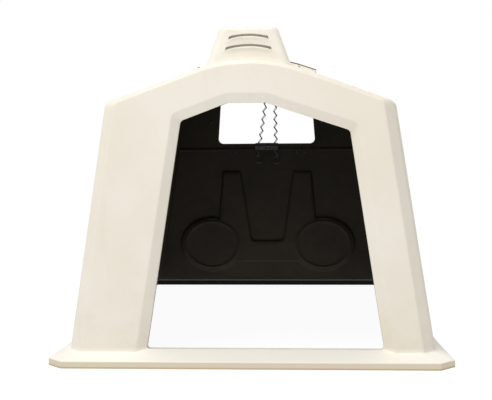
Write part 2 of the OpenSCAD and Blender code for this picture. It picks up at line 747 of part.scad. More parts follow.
// Fixed leaves: the two outer knuckles
module wall_leaf_places() {
    for (s = [-1, 1]) for (x = [-20, 20])
        translate([s * leaf_x + x, 0, flap_axis_s - 26]) rotate([-90, 0, 0]) children();
}
module wall_leaves() {
    color(dark_steel) on_rear_wall() difference() {
        for (s = [-1, 1]) translate([s * leaf_x, 0, 0]) {
            translate([-leaf_half, 0, flap_axis_s - 38]) cube([2 * leaf_half, leaf_t, 38]);
            for (x = [-leaf_half, knuckle_half + 0.4]) {
                w = leaf_half - knuckle_half - 0.4;
                barrel(knuckle_d, x, x + w);
                translate([x, 0, flap_axis_s - 6]) cube([w, flap_axis_out, 6]);
            }
        }
        for (s = [-1, 1]) translate([s * leaf_x, 0, 0]) barrel(pin_d, -leaf_half - 1, leaf_half + 1);
        wall_leaf_places() cylinder(d = leaf_bolt_d, h = 60, center = true, $fn = around);
    }
}
module wall_leaf_bolts() {
    color(steel) on_rear_wall() wall_leaf_places() {
        translate([0, 0, -wall_t - 6]) cylinder(d = leaf_bolt_d, h = wall_t + 6 + leaf_t, $fn = around);
        translate([0, 0, leaf_t]) dome_head(10, 2.5);
        translate([0, 0, -wall_t - 4]) cylinder(d = 10, h = 4, $fn = 6);
    }
}
module flap_hinge_pins() {
    color(steel) on_rear_wall() for (s = [-1, 1]) translate([s * leaf_x, 0, 0]) {
        barrel(pin_d, -leaf_half - 1, leaf_half + 1);
        for (x = [-leaf_half - 3, leaf_half + 0.5]) barrel(9, x, x + 2.5);
    }
}

// ---- Turn buttons ------------------------------------------------------------------------------
button_x = 310;
button_s = up_slope(945);
button_bolt_d = 8;
button_lo = flap_rim + 1;
button_t = 8;
module button_places() {
    for (s = [-1, 1]) translate([s * button_x, 0, button_s]) rotate([-90, 0, 0]) children();
}
module turn_button(s) {
    color(dark_steel) on_rear_wall() translate([s * button_x, 0, button_s]) rotate([-90, 0, 0]) difference() {
        union() {
            translate([0, 0, 0.5]) cylinder(d = 20, h = button_lo, $fn = around);
            translate([0, 0, button_lo]) linear_extrude(button_t) polygon(rounded([[-11, -38], [11, -38],
                [11, 38], [-11, 38]], 10.9, 6));
        }
        cylinder(d = button_bolt_d + 2 * hinge_gap, h = 80, center = true, $fn = around);
    }
}
module turn_button_left() { turn_button(-1); }
module turn_button_right() { turn_button(1); }
module turn_button_bolts() {
    color(steel) on_rear_wall() button_places() {
        translate([0, 0, -wall_t - 8])
            cylinder(d = button_bolt_d, h = wall_t + 9 + button_lo + button_t, $fn = around);
        translate([0, 0, button_lo + button_t + 0.5]) dome_head(16, 5);
        translate([0, 0, -wall_t - 6]) cylinder(d = 15, h = 6, $fn = 6);
    }
}

shell();
vent_hood();
hood_screws();
lid_curb_seal();
lid_brackets();
lid_bracket_bolts();
lid_hinge_rod();
rod_clips();
ridge_lid();
lid_edge_strip();
lid_lever();
lever_bolts();
pull_chain_left();
pull_chain_right();
pull_ring_left();
pull_ring_right();
chain_keeper();
keeper_bolts();
rear_flap();
flap_seal();
flap_leaves();
flap_rivets();
wall_leaves();
wall_leaf_bolts();
flap_hinge_pins();
turn_button_left();
turn_button_right();
turn_button_bolts();
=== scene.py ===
"""Calf hutch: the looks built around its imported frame. Lengths are in millimetres until a mesh is made."""

from math import acos, cos, pi, radians, sin, sqrt, tan

import bmesh
import bpy
import numpy as np
from mathutils import Matrix, Vector
from mathutils.geometry import delaunay_2d_cdt
from mathutils.kdtree import KDTree


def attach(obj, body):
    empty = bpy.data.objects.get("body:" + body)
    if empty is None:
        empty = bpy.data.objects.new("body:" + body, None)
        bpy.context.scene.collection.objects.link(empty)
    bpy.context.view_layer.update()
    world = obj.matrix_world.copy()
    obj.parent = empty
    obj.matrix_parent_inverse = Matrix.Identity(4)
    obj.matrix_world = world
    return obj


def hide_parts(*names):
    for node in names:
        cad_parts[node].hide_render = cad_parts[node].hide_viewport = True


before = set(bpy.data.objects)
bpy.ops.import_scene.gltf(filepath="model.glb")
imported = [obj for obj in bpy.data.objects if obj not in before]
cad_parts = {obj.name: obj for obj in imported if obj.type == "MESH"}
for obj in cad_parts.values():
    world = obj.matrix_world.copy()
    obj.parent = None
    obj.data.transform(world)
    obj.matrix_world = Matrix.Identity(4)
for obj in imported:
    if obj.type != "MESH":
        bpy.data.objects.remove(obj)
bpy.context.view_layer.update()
scene = bpy.context.scene
MM = 0.001
SAME = 0.01                                   # two values closer than this count as one

# ---- Sizes, the same as the part's ---------------------------------------------------------------
LENGTH, BASE_W, TAPER, WALL = 2100, 1546, 50, 6
FLANGE_W, LIP_H, FLANGE_H, CORNER_CUT = 73, 27, 48, 60
SIDE_FLANGE, WAIST_AT = 58, 400
LEAN, RIDGE_H, PITCH, RIDGE_R, EAVE_R = radians(9.15), 1160, radians(19.9), 600, 28
SIDE_BEVEL, ROOF_BEVEL, REAR_BEVEL = 40, 15, 30
RIBS, RIB_W, RIB_OUT, RIB_RAMP = 4, 110, 14, 26
RIB_CLEAR_FRONT, RIB_CLEAR_REAR = 35, 170
FRONT_RING = 138                              # one more ring between the front bevel and the first rib
REAR_LEAN = radians(5.6)
FACE_D = FLANGE_W + 2
BODY_D = FACE_D + SIDE_BEVEL
REAR_D = LENGTH - FACE_D
BODY_HALF = BASE_W / 2 - FLANGE_W
RIB_FIRST = BODY_D + RIB_CLEAR_FRONT
RIB_PITCH = (REAR_D - RIB_CLEAR_REAR - RIB_FIRST - RIB_W) / (RIBS - 1)
ARC_X = RIDGE_R * sin(PITCH)
FOOT_FILLET = 5
CRISP = 4.0
HATCH_HALF, HATCH_FROM, HATCH_TO, CURB_H = 246, 1544, 1796, 14
VENT_HALF, VENT_FROM, VENT_TO = 100, 190, 380
LID_AXIS = Vector((0, 1805 - LENGTH / 2, 1117))
LID_OPEN = radians(17)


def at(depth):
    """Y of a depth measured back from the front lip."""
    return depth - LENGTH / 2


def roof_z(x, drop=0.0):
    a = abs(x)
    if a < ARC_X:
        z = RIDGE_H - RIDGE_R + sqrt(RIDGE_R * RIDGE_R - a * a)
    else:
        z = RIDGE_H - RIDGE_R * (1 - cos(PITCH)) - (a - ARC_X) * tan(PITCH)
    return z - drop / cos(PITCH)


# ---- Small geometry ------------------------------------------------------------------------------
def lerp(a, b, t):
    return a + (b - a) * t


def smooth(t):
    t = min(1.0, max(0.0, t))
    return t * t * (3 - 2 * t)


def bend(a, corner, b, steps):
    """Points of the curve that leaves a towards corner and arrives at b."""
    a, corner, b = (np.array(v, float) for v in (a, corner, b))
    ts = np.linspace(0, 1, steps + 1)
    return [(1 - t) ** 2 * a + 2 * t * (1 - t) * corner + t * t * b for t in ts]


def both(p, base=None):
    """A point of a sheet's outer face together with the place that its inner face is measured from."""
    p = np.array(p, float)
    return p if len(p) == 6 else np.concatenate([p, p if base is None else np.array(base, float)])


def crisp_bend(a, corner, b, steps, base=None):
    """A small rounding outside that stays a plain crease on the inner face."""
    return [both(p, corner if base is None else base) for p in bend(a, corner, b, steps)]


def unit(v):
    v = np.array(v, float)
    return v / np.linalg.norm(v)


def rounded(pts, radii, steps=6):
    """A closed outline with its corners rounded, steps + 1 points a corner."""
    out = []
    n = len(pts)
    for i, p in enumerate(pts):
        p = np.array(p, float)
        r = radii[i] if isinstance(radii, (list, tuple)) else radii
        a, b = unit(np.array(pts[i - 1]) - p), unit(np.array(pts[(i + 1) % n]) - p)
        half = acos(float(a @ b)) / 2
        turn = pi - 2 * half
        c = p + unit(a + b) * r / sin(half)
        s, e = p + a * r / tan(half) - c, p + b * r / tan(half) - c
        for k in range(steps + 1):
            t = k / steps
            out.append(c + (s * sin(turn * (1 - t)) + e * sin(turn * t)) / sin(turn))
    return out


def grown(pts, d):
    """An anticlockwise outline moved outwards by d."""
    out = []
    n = len(pts)
    for i, p in enumerate(pts):
        u, v = unit(np.array(p) - pts[i - 1]), unit(np.array(pts[(i + 1) % n]) - p)
        a, b = np.array([u[1], -u[0]]), np.array([v[1], -v[0]])
        out.append(np.array(p, float) + d * (a + b) / (1 + a @ b))
    return out


def inside(p, loops):
    """Whether a point is inside an odd number of outlines."""
    odd = False
    for loop in loops:
        for i in range(len(loop)):
            (x0, y0), (x1, y1) = loop[i - 1], loop[i]
            if (y0 > p[1]) != (y1 > p[1]) and p[0] < (x1 - x0) * (p[1] - y0) / (y1 - y0) + x0:
                odd = not odd
    return odd


def welded(co, reach=0.05):
    """For each row of co the number of its group, and one row for each group."""
    tree = KDTree(len(co))
    for i, p in enumerate(co):
        tree.insert(p[:3], i)
    tree.balance()
    group = np.full(len(co), -1)
    kept = []
    for i in range(len(co)):
        if group[i] < 0:
            for _, j, _ in tree.find_range(co[i][:3], reach):
                if group[j] < 0 and np.abs(co[j] - co[i]).max() < reach:
                    group[j] = len(kept)
            kept.append(co[i])
    return group, np.array(kept)


def tidy_loop(ids):
    """A face's corners without repeats, or nothing if fewer than three are left."""
    out = [v for k, v in enumerate(ids) if v != ids[k - 1]]
    return out if len(out) > 2 and len(set(out)) == len(out) else []


class Sheet:
    """A surface put together from patches that are welded where they meet, then given a thickness."""

    def __init__(self):
        self.points, self.faces, self.kinds = [], [], []

    def add(self, p):
        self.points.append(both(p))
        return len(self.points) - 1

    def grid(self, rows, closed=False, skip=None, kind=None):
        made = [[self.add(p) for p in row] for row in rows]
        n = len(rows[0])
        for j in range(len(rows) - 1):
            for i in range(n if closed else n - 1):
                if skip and skip(j, i):
                    continue
                k = (i + 1) % n
                self.faces.append((made[j][i], made[j + 1][i], made[j + 1][k], made[j][k]))
                self.kinds.append(kind(j) if kind else 0)

    def fill(self, loops, place, extra=()):
        """Triangles inside flat outlines. Each outline is a list of (flat point, point in space); place
        puts an extra point in space."""
        flat, spots, edges = [], [], []
        for loop in loops:
            n, m = len(flat), len(loop)
            flat += [Vector((float(p[0][0]), float(p[0][1]))) for p in loop]
            spots += [p[1] for p in loop]
            edges += [(n + i, n + (i + 1) % m) for i in range(m)]
        flat += [Vector(p) for p in extra]
        spots += [place(p) for p in extra]
        out, _, tris, origin, *_ = delaunay_2d_cdt(flat, edges, [], 0, 1e-5)
        made = [self.add(spots[origin[i][0]]) for i in range(len(out))]
        outlines = [[p[0] for p in loop] for loop in loops]
        for tri in tris:
            middle = sum((out[i] for i in tri), Vector((0, 0))) / 3
            if inside(middle, outlines):
                self.faces.append(tuple(made[i] for i in tri))
                self.kinds.append(0)

    def solid(self, name, thickness, outward, materials, extra=None, rim=1.6):
        """Weld, turn the faces so that the one nearest outward's point faces along its direction, and
        add the inner surface and the rims. extra gives each place its added thickness."""
        group, co = welded(np.array(self.points))
        bm = bmesh.new()
        verts = [bm.verts.new(p[:3]) for p in co]
        for f, kind in zip(self.faces, self.kinds):
            ids = tidy_loop([group[v] for v in f])
            if ids:
                bm.faces.new([verts[v] for v in ids]).material_index = kind
        bm.verts.index_update()
        bmesh.ops.recalc_face_normals(bm, faces=bm.faces)
        bm.normal_update()
        place, way = Vector(outward[0]), Vector(outward[1])
        nearest = min(bm.faces, key=lambda f: (f.calc_center_median() - place).length)
        if nearest.normal.dot(way) < 0:
            bmesh.ops.reverse_faces(bm, faces=bm.faces)
        faces = [[v.index for v in f.verts] for f in bm.faces]
        kinds = [f.material_index for f in bm.faces]
        open_edges = [(e.link_loops[0].vert.index, e.link_loops[0].link_loop_next.vert.index)
                      for e in bm.edges if len(e.link_loops) == 1]
        bm.free()

        deep, base = welded(co[:, 3:])
        inner_faces = [t for t in (tidy_loop([deep[v] for v in f]) for f in faces) if t]
        bm = bmesh.new()
        verts = [bm.verts.new(p) for p in base]
        for f in inner_faces:
            bm.faces.new([verts[v] for v in f])
        bm.verts.index_update()
        bm.normal_update()
        t = np.full(len(base), float(thickness))
        if extra is not None:
            t += extra(base)
        a = np.zeros((len(base), 3, 3))
        b = np.zeros((len(base), 3))
        for v in bm.verts:
            for corner in v.link_loops:
                w, n = corner.calc_angle(), np.array(corner.face.normal)
                a[v.index] += w * np.outer(n, n)
                b[v.index] += w * n
        bm.free()
        a += np.eye(3) * 1e-3
        move = np.linalg.solve(a, b[:, :, None])[:, :, 0]
        long = np.linalg.norm(move, axis=1, keepdims=True)
        move *= np.minimum(1.0, 1.6 / np.maximum(long, 1e-9))
        inner = base - move * t[:, None]
        count = len(co)
        faces += [[i + count for i in reversed(f)] for f in inner_faces]
        kinds += [1] * len(inner_faces)
        for i, j in open_edges:
            ids = tidy_loop([j, i, deep[i] + count, deep[j] + count])
            if ids:
                faces.append(ids)
                kinds.append(0)
        mesh = bpy.data.meshes.new(name)
        mesh.from_pydata([tuple(p) for p in np.vstack([co[:, :3], inner]) * MM], [], faces)
        mesh.polygons.foreach_set("material_index", kinds)
        mesh.validate()
        for m in materials:
            mesh.materials.append(m)
        return finished(name, mesh, rim, 75)


def finished(name, mesh, rim=1.0, angle=50, segments=2):
    """An object with rounded sharp edges and clean shading."""
    mesh.shade_smooth()
    bm = bmesh.new()
    bm.from_mesh(mesh)
    for e in bm.edges:
        if len(e.link_faces) == 2 and radians(28) < e.calc_face_angle() < radians(angle):
            e.smooth = False
    bm.to_mesh(mesh)
    bm.free()
    o = bpy.data.objects.new(name, mesh)
    scene.collection.objects.link(o)
    soften(o, rim, angle, segments)
    return o


def soften(o, width, angle=50, segments=2):
    if width:
        b = o.modifiers.new("edges", "BEVEL")
        b.width, b.segments, b.limit_method = width * MM, segments, "ANGLE"
        b.angle_limit, b.use_clamp_overlap, b.harden_normals = radians(angle), True, False
    w = o.modifiers.new("normals", "WEIGHTED_NORMAL")
    w.keep_sharp, w.weight = True, 60


# ---- Materials -----------------------------------------------------------------------------------
def srgb(r, g, b):
    """A colour given in 0 to 255, as the shader wants it."""
    shares = [c / 255 for c in (r, g, b)]
    return tuple(s / 12.92 if s <= 0.04 else ((s + 0.055) / 1.055) ** 2.4 for s in shares) + (1,)


class Look:
    """A node material whose texture follows the piece."""

    def __init__(self, name):
        self.material = bpy.data.materials.new(name)
        self.material.use_nodes = True
        self.tree = self.material.node_tree
        self.shader = self.tree.nodes["Principled BSDF"]
        self.where = self.tree.nodes.new("ShaderNodeTexCoord").outputs["Object"]

    def node(self, kind, **values):
        n = self.tree.nodes.new(kind)
        for key, value in values.items():
            setattr(n, key, value)
        return n

    def link(self, a, b):
        self.tree.links.new(a, b)

    def noise(self, scale, detail=3.0, rough=0.55, stretch=None):
        n = self.node("ShaderNodeTexNoise")
        n.inputs["Scale"].default_value = scale
        n.inputs["Detail"].default_value = detail
        n.inputs["Roughness"].default_value = rough
        if stretch:
            m = self.node("ShaderNodeMapping")
            m.inputs["Scale"].default_value = stretch
            self.link(self.where, m.inputs["Vector"])
            self.link(m.outputs["Vector"], n.inputs["Vector"])
        else:
            self.link(self.where, n.inputs["Vector"])
        return n.outputs["Fac"]

    def span(self, value, low, high, to_low=0.0, to_high=1.0):
        m = self.node("ShaderNodeMapRange")
        m.interpolation_type = "SMOOTHSTEP"
        self.link(value, m.inputs["Value"])
        for key, number in zip(("From Min", "From Max", "To Min", "To Max"), (low, high, to_low, to_high)):
            m.inputs[key].default_value = number
        return m.outputs["Result"]

    def times(self, a, b):
        m = self.node("ShaderNodeMath", operation="MULTIPLY")
        self.link(a, m.inputs[0])
        if isinstance(b, (int, float)):
            m.inputs[1].default_value = b
        else:
            self.link(b, m.inputs[1])
        return m.outputs["Value"]

    def mix(self, amount, a, b):
        m = self.node("ShaderNodeMix", data_type="RGBA")
        self.link(amount, m.inputs["Factor"])
        for key, value in ((6, a), (7, b)):
            if isinstance(value, tuple):
                m.inputs[key].default_value = value
            else:
                self.link(value, m.inputs[key])
        return m.outputs[2]

    def height(self):
        s = self.node("ShaderNodeSeparateXYZ")
        self.link(self.where, s.inputs["Vector"])
        return s.outputs["Z"]

    def bump(self, value, strength, distance, after=None):
        b = self.node("ShaderNodeBump")
        b.inputs["Strength"].default_value = strength
        b.inputs["Distance"].default_value = distance
        self.link(value, b.inputs["Height"])
        if after is not None:
            self.link(after, b.inputs["Normal"])
        return b.outputs["Normal"]

    def done(self, colour, rough, normal=None, metallic=0.0, specular=0.5):
        self.link(colour, self.shader.inputs["Base Color"])
        self.link(rough, self.shader.inputs["Roughness"])
        if normal is not None:
            self.link(normal, self.shader.inputs["Normal"])
        self.shader.inputs["Metallic"].default_value = metallic
        self.shader.inputs["Specular IOR Level"].default_value = specular
        return self.material


def moulded(name, light, dark, dirt=None, rough=0.46, lip=None, gloss=0.42):
    """Rotationally moulded plastic: soft mottling, orange peel, a little dust towards the ground. lip gives
    the colours of the flange's upper side, of the lip that stands on the ground and of its lower edge, all
    painted light: on the shell a painted highlight on the flange's upper side and painted shade on the lip
    and its lower edge, on the shade lining deeper painted shade towards the foot."""
    k = Look(name)
    colour = k.mix(k.span(k.noise(2.4, 4), 0.35, 0.68), light, dark)
    colour = k.mix(k.times(k.span(k.noise(17, 5, 0.6), 0.5, 0.72), 0.35), colour, dark)
    if dirt:
        low = k.span(k.height(), 0.02, 0.34, 1.0, 0.0)
        colour = k.mix(k.times(k.times(low, k.span(k.noise(9, 6, 0.65), 0.42, 0.66)), 0.22), colour, dirt)
        streak = k.span(k.noise(5, 5, 0.6, (3.0, 3.0, 0.35)), 0.56, 0.78)
        colour = k.mix(k.times(streak, 0.1), colour, dirt)
    # Painted highlight on the flange's upper side and painted shade on the lip and its lower edge, set by
    # height
    if lip:
        colour = k.mix(k.span(k.height(), 0.05, 0.07, 1.0, 0.0), colour, lip[0])
        colour = k.mix(k.span(k.height(), 0.023, 0.028, 1.0, 0.0), colour, lip[1])
        colour = k.mix(k.span(k.height(), 0.001, 0.009, 1.0, 0.0), colour, lip[2])
    peel = k.bump(k.noise(330, 2), 0.22, 0.0005)
    wave = k.bump(k.noise(7, 2), 0.16, 0.004, peel)
    return k.done(colour, k.span(k.noise(30, 4), 0.3, 0.7, rough - 0.07, rough + 0.09), wave, specular=gloss)


def metal(name, light, dark, rough, grain, rust=None):
    k = Look(name)
    colour = k.mix(k.span(k.noise(grain, 4), 0.38, 0.62), light, dark)
    if rust:
        colour = k.mix(k.times(k.span(k.noise(grain * 0.6, 6, 0.7), 0.58, 0.7), 0.6), colour, rust)
    normal = k.bump(k.noise(grain * 9, 3), 0.25, 0.0003)
    worn = k.span(k.noise(grain * 2, 3), 0.3, 0.7, rough - 0.08, rough + 0.1)
    return k.done(colour, worn, normal, metallic=1.0)


def coated(name, light, dark, rough, grain=240):
    k = Look(name)
    colour = k.mix(k.span(k.noise(26, 5), 0.42, 0.7), light, dark)
    normal = k.bump(k.noise(grain, 3), 0.3, 0.0004)
    return k.done(colour, k.span(k.noise(40, 3), 0.3, 0.7, rough - 0.08, rough + 0.08), normal, specular=0.4)


CREAM, CREAM_WARM = srgb(243, 237, 225), srgb(239, 231, 215)
LOOKS = {
    # The shell's lip colours are a painted highlight on the flange's upper side and painted shade on the lip
    # and its lower edge
    "moulded_shell": moulded("moulded_shell", CREAM, CREAM_WARM, srgb(216, 203, 176),
                             lip=(srgb(252, 248, 237), srgb(222, 211, 187), srgb(192, 166, 128)), gloss=0.12),
    "moulded_hood": moulded("moulded_hood", srgb(245, 241, 230), CREAM_WARM, srgb(222, 211, 188), 0.44),
    "moulded_lid": moulded("moulded_lid", srgb(243, 238, 226), CREAM_WARM, srgb(220, 208, 184), 0.44),
    "moulded_flap": moulded("moulded_flap", srgb(243, 238, 225), CREAM_WARM, srgb(219, 207, 182), 0.45),
    "rubber_seal": coated("rubber_seal", srgb(43, 40, 38), srgb(58, 54, 50), 0.72, 420),
    "edge_rubber": coated("edge_rubber", srgb(128, 104, 82), srgb(100, 82, 66), 0.66, 420),
    "dark_steel": coated("dark_steel", srgb(46, 46, 46), srgb(62, 60, 57), 0.42),
    "button_steel": coated("button_steel", srgb(40, 41, 42), srgb(56, 55, 53), 0.38),
    "chain_steel": coated("chain_steel", srgb(60, 58, 56), srgb(76, 66, 58), 0.45),
    "ring_steel": metal("ring_steel", srgb(84, 82, 80), srgb(60, 58, 56), 0.46, 120, srgb(70, 54, 44)),
    "bolt_steel": coated("bolt_steel", srgb(40, 38, 36), srgb(56, 50, 45), 0.5),
    "zinc_steel": metal("zinc_steel", srgb(186, 187, 188), srgb(142, 144, 148), 0.34, 90),
}
# The dark inner layer stands in for the deep shade inside, which this even studio light doesn't give
PAINTED_SHADE_LINING = moulded("shade_lining", srgb(45, 40, 31), srgb(36, 32, 25), None, 0.6,
                 lip=(srgb(38, 34, 27), srgb(16, 14, 11), srgb(12, 11, 9)), gloss=0.12)

# ---- Shell ---------------------------------------------------------------------------------------
EAVE_STEPS = 9
COLUMNS = [430, HATCH_HALF + 14, HATCH_HALF, 225, ARC_X, 175, 150, 125, VENT_HALF, 75, 50, 25, 0]


def section(half, tw, tr, foot):
    """Outline of the body from the left foot over the ridge to the right foot."""
    w = half - tw / cos(LEAN)
    st, rt = tan(LEAN), tan(PITCH)
    knee = RIDGE_H - tr / cos(PITCH) - RIDGE_R * (1 - cos(PITCH))
    x = (st * (knee + ARC_X * rt - FLANGE_H) - w) / (st * rt - 1)
    z = knee - (x - ARC_X) * rt
    turn = pi / 2 - LEAN - PITCH
    t = EAVE_R * tan(turn / 2)
    cx, cz = x + t * sin(LEAN) - EAVE_R * cos(LEAN), z - t * cos(LEAN) - EAVE_R * sin(LEAN)
    right = [(w - st * (foot - FLANGE_H), foot)]
    for k in range(EAVE_STEPS + 1):
        g = LEAN + turn * k / EAVE_STEPS
        right.append((cx + EAVE_R * cos(g), cz + EAVE_R * sin(g)))
    right += [(c, roof_z(c, tr)) for c in COLUMNS]
    return [(-p[0], p[1]) for p in right] + right[-2::-1]


def rib_swell(depth):
    """How far the ribs push the wall out at a depth."""
    out = 0.0
    for k in range(RIBS):
        start = RIB_FIRST + k * RIB_PITCH
        out += RIB_OUT * smooth((depth - start) / RIB_RAMP) * smooth((start + RIB_W - depth) / RIB_RAMP)
    return out


def body_half(depth):
    return BODY_HALF - TAPER * (depth - BODY_D) / (REAR_D - BODY_D)


class Station:
    """One ring of the body: its depth, how far it is drawn in, and whether it leans as the rear wall does."""

    def __init__(self, depth, tw=0.0, tr=0.0, half=None, leans=False, base=None):
        self.depth, self.tw, self.tr, self.leans = depth, tw, tr, leans
        self.half = body_half(depth) if half is None else half
        self.base = self if base is None else Station(*base, half=half, leans=leans)

    def y(self, z):
        return at(self.depth) - (tan(REAR_LEAN) * (z - FLANGE_H) if self.leans else 0.0)

    def outline(self, foot):
        return [(x, self.y(z), z) for x, z in section(self.half, self.tw, self.tr, foot)]

    def ring(self):
        return [both(p, q) for p, q in zip(self.outline(FLANGE_H + FOOT_FILLET), self.base.outline(FLANGE_H))]

    def corner(self, side):
        """Where the wall would meet the flange, on one side."""
        return np.array([side * (self.half - self.tw / cos(LEAN)), self.y(FLANGE_H), FLANGE_H])

    def lip(self):
        """Half width and depth of the lip beside this ring."""
        front, rear = BASE_W / 2, BODY_HALF - TAPER + SIDE_FLANGE
        if self.tw > 0 and self.depth < LENGTH / 2:
            q = 1 - self.tw / SIDE_BEVEL
            if q < 0:
                return front - CORNER_CUT + q * SIDE_BEVEL * 1.08, 0.0
            return lerp(front - CORNER_CUT, front, q), lerp(0, CORNER_CUT, q)
        if self.tw > 0:
            q = self.tw / REAR_BEVEL
            if q > 1:
                return rear - CORNER_CUT - (q - 1) * REAR_BEVEL * 1.08, float(LENGTH)
            return lerp(rear, rear - CORNER_CUT, q), lerp(LENGTH - CORNER_CUT, LENGTH, q)
        q = (self.depth - BODY_D) / (REAR_D - SIDE_BEVEL - BODY_D)
        d = lerp(CORNER_CUT, LENGTH - CORNER_CUT, q)
        waist = body_half(WAIST_AT) + SIDE_FLANGE
        return float(np.interp(d, (CORNER_CUT, WAIST_AT, LENGTH - CORNER_CUT), (front, waist, rear))), d


def body_stations():
    soft, share = 5.0, 0.11

    def turned(corner, before, after, half, leans):
        return [Station(*p, half=half, leans=leans, base=corner) for p in bend(before, corner, after, 4)]

    c1, c2 = np.array([FACE_D, SIDE_BEVEL, ROOF_BEVEL], float), np.array([BODY_D, 0, 0], float)
    out = turned(c1, c1 + [0, soft, soft], lerp(c1, c2, share), BODY_HALF, False)
    out += turned(c2, lerp(c2, c1, share), c2 + [soft, 0, 0], BODY_HALF, False)
    depths = {VENT_FROM, VENT_TO, HATCH_FROM, HATCH_TO, FRONT_RING}
    for k in range(RIBS):
        start = RIB_FIRST + k * RIB_PITCH
        for i in range(6):
            depths |= {start + RIB_RAMP * i / 5, start + RIB_W - RIB_RAMP * i / 5}
        if k < RIBS - 1:
            depths |= {start + RIB_W + (RIB_PITCH - RIB_W) * q for q in (0.25, 0.5, 0.75)}
    for d in sorted(depths):
        if all(abs(d - s.depth) > 1.5 for s in out) or d in (VENT_FROM, VENT_TO, HATCH_FROM, HATCH_TO):
            out = [s for s in out if abs(d - s.depth) > 1.5]
            out.append(Station(d, -rib_swell(d)))
    c3 = np.array([REAR_D - SIDE_BEVEL, 0, 0], float)
    c4 = np.array([REAR_D, REAR_BEVEL, ROOF_BEVEL], float)
    out += turned(c3, c3 - [soft, 0, 0], lerp(c3, c4, share), BODY_HALF - TAPER, True)
    out += turned(c4, lerp(c4, c3, share), c4 + [0, soft, soft], BODY_HALF - TAPER, True)
    return out


# Doorway, anticlockwise from its left foot
DOOR_R, FOOT_R, BAND_W, BAND_D, RETURN_D, SILL_H = 20, 10, 34, 25, 24, 55
DOOR_LEFT, DOOR_RIGHT, SHOULDER_LEFT, SHOULDER_RIGHT, DOOR_TOP = -399, 512, 930, 890, 997
DOORWAY = [(DOOR_LEFT, SILL_H), (DOOR_RIGHT, SILL_H),
           (DOOR_RIGHT - (SHOULDER_RIGHT - SILL_H) * tan(LEAN) * 0.96, SHOULDER_RIGHT),
           (64, DOOR_TOP), (-78, DOOR_TOP),
           (DOOR_LEFT + (SHOULDER_LEFT - SILL_H) * tan(LEAN), SHOULDER_LEFT)]
SILL_PARTS = 24
ROUND = 6


def door_outline(grow, radius, foot_radius):
    pts = [(p[0], max(p[1], FLANGE_H)) for p in grown(DOORWAY, grow)]
    ring = rounded(pts, [foot_radius, foot_radius] + [radius] * 4, ROUND)
    a, b = ring[ROUND], ring[ROUND + 1]
    return ring[:ROUND + 1] + [lerp(a, b, k / SILL_PARTS) for k in range(1, SILL_PARTS)] + ring[ROUND + 1:]


def rear_point(p):
    """A point of the rear wall's outer face: across, and up the slope from the flange."""
    return (p[0], at(REAR_D) - p[1] * sin(REAR_LEAN), FLANGE_H + p[1] * cos(REAR_LEAN))


def up_slope(z):
    return (z - FLANGE_H) / cos(REAR_LEAN)


# Relief of the rear wall
BOSS = (317, up_slope(251), 180, 158)
NECK_TOP, LEDGE = up_slope(668), up_slope(791)
RELIEF_BODY = [(-281, BOSS[1] + 60), (-277, up_slope(150)), (277, up_slope(150)), (281, BOSS[1] + 60),
               (251, NECK_TOP), (-251, NECK_TOP)]
RELIEF_PANEL = [(-90, up_slope(272)), (90, up_slope(272)), (154, NECK_TOP + 40), (-154, NECK_TOP + 40)]
RELIEF_DEPTH, RING_INSET, LEDGE_FROM = 14, 27, 66
WINDOW_LOW, WINDOW_HIGH, WINDOW_HALF, WINDOW_TOP_HALF, WINDOW_R = 825, 1055, 272, 254, 27
GRID_S = (24.0, 763.0)                        # heights up the wall where its fine grid starts and ends


def outline_distance(p, pts):
    """Signed distance of points p from a closed outline, negative inside."""
    best = np.full(len(p), 1e9)
    odd = np.zeros(len(p), bool)
    for i in range(len(pts)):
        a, b = np.array(pts[i - 1], float), np.array(pts[i], float)
        e = b - a
        t = np.clip(((p - a) @ e) / (e @ e), 0, 1)
        best = np.minimum(best, np.linalg.norm(p - a - t[:, None] * e, axis=1))
        cross = ((a[1] > p[:, 1]) != (b[1] > p[:, 1]))
        with np.errstate(divide="ignore", invalid="ignore"):
            odd ^= cross & (p[:, 0] < (b[0] - a[0]) * (p[:, 1] - a[1]) / (b[1] - a[1]) + a[0])
    return np.where(odd, -best, best)


def boss_distance(p):
    cx, cs, a, b = BOSS
    q = np.stack([(np.abs(p[:, 0]) - cx) / a, (p[:, 1] - cs) / b], 1)
    return (np.linalg.norm(q, axis=1) - 1) * (a + b) / 2


def relief_depth(p):
    body = np.minimum(boss_distance(p), outline_distance(p, rounded(RELIEF_BODY, 12, 3)))
    panel = outline_distance(p, rounded(RELIEF_PANEL, 30, 5))
    d = np.maximum(body, -panel) + 5
    t = np.clip(0.5 - d / 12, 0, 1)
    return RELIEF_DEPTH * t * t * (3 - 2 * t)


def inner_extra(co):
    """Where the rear wall is thicker on its inside: a ledge below the window and a ring on each boss."""
    s = (co[:, 2] - FLANGE_H) / cos(REAR_LEAN)
    on_wall = np.abs(co[:, 1] - (at(REAR_D) - s * sin(REAR_LEAN))) < RELIEF_DEPTH + 1
    p = np.stack([co[:, 0], s], 1)
    ring = np.clip((8 - np.abs(boss_distance(p) + RING_INSET)) / 4, 0, 1) * 5
    ledge = np.clip((9 - np.abs(s - LEDGE)) / 5, 0, 1) * 8 * (np.abs(co[:, 0]) > LEDGE_FROM)
    inside_grid = (s > GRID_S[0] + 4) & (s < GRID_S[1] - 1)
    return np.where(on_wall & inside_grid, np.maximum(ring * (s < NECK_TOP), ledge), 0)


